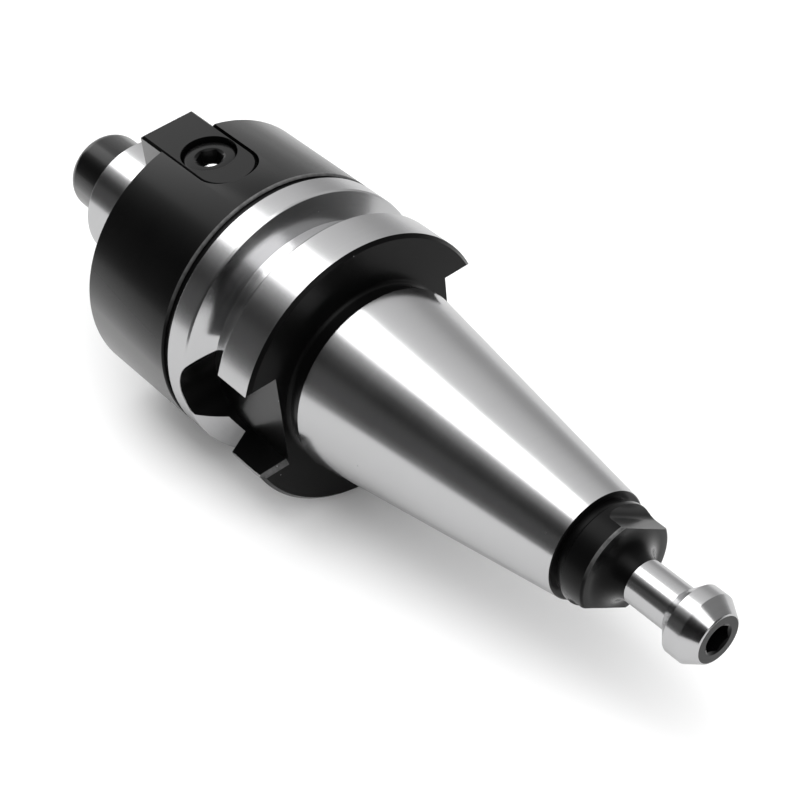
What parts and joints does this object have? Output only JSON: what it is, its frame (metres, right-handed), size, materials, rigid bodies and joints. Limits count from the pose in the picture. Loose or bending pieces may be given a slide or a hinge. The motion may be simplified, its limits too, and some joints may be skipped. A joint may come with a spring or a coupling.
{
  "type": "face mill arbor",
  "caption": "Face mill arbor: a steep ground taper with a pull stud, a V-grooved flange with drive slots, and a black body with drive keys, a cutter pilot and its clamping screw.",
  "frame": {"origin": "centre of the gauge plane, where the taper is 31.75 mm across", "axes": "+Z along the axis towards the pull stud, +X and -X through the flange's drive slots, +Y and -Y through the cutter's drive keys"},
  "size_m": [0.046, 0.046, 0.147],
  "materials": {
    "black_steel": "black oxide, satin",
    "ground_steel": "ground bright round the axis"
  },
  "bodies": {
    "root": {"holder_body": "black_steel", "pull_stud": "ground_steel", "drive_key_1": "black_steel", "drive_key_2": "black_steel", "key_screws": "black_steel", "arbor_screw": "black_steel"}
  },
  "joints": []
}
